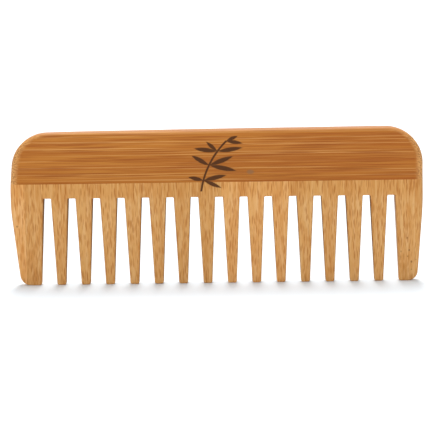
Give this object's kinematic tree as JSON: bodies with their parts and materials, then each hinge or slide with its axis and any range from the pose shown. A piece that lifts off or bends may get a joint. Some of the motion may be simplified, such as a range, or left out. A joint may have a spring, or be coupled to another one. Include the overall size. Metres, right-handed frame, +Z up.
{
  "type": "wide tooth comb",
  "caption": "Handleless wide tooth hair comb in laminated bamboo: a dark rounded spine over a lighter plate of broad tapering teeth with round-rooted slots.",
  "frame": {"origin": "middle of the footprint, at the level of the tooth tips", "axes": "+X along the comb, +Y out of its back face, +Z up from the tips to the spine"},
  "size_m": [0.15, 0.008, 0.0564],
  "materials": {
    "dark_bamboo": "fine sanded, lightly oiled, grain along the comb",
    "light_bamboo": "fine sanded, lightly oiled, grain along the teeth"
  },
  "bodies": {
    "root": {"spine_lath_top": "dark_bamboo", "spine_lath_middle": "dark_bamboo", "spine_lath_bottom": "dark_bamboo", "tooth_strip_1": "light_bamboo", "tooth_strip_2": "light_bamboo", "tooth_strip_3": "light_bamboo", "tooth_strip_4": "light_bamboo", "tooth_strip_5": "light_bamboo", "tooth_strip_6": "light_bamboo", "tooth_strip_7": "light_bamboo"}
  },
  "joints": []
}
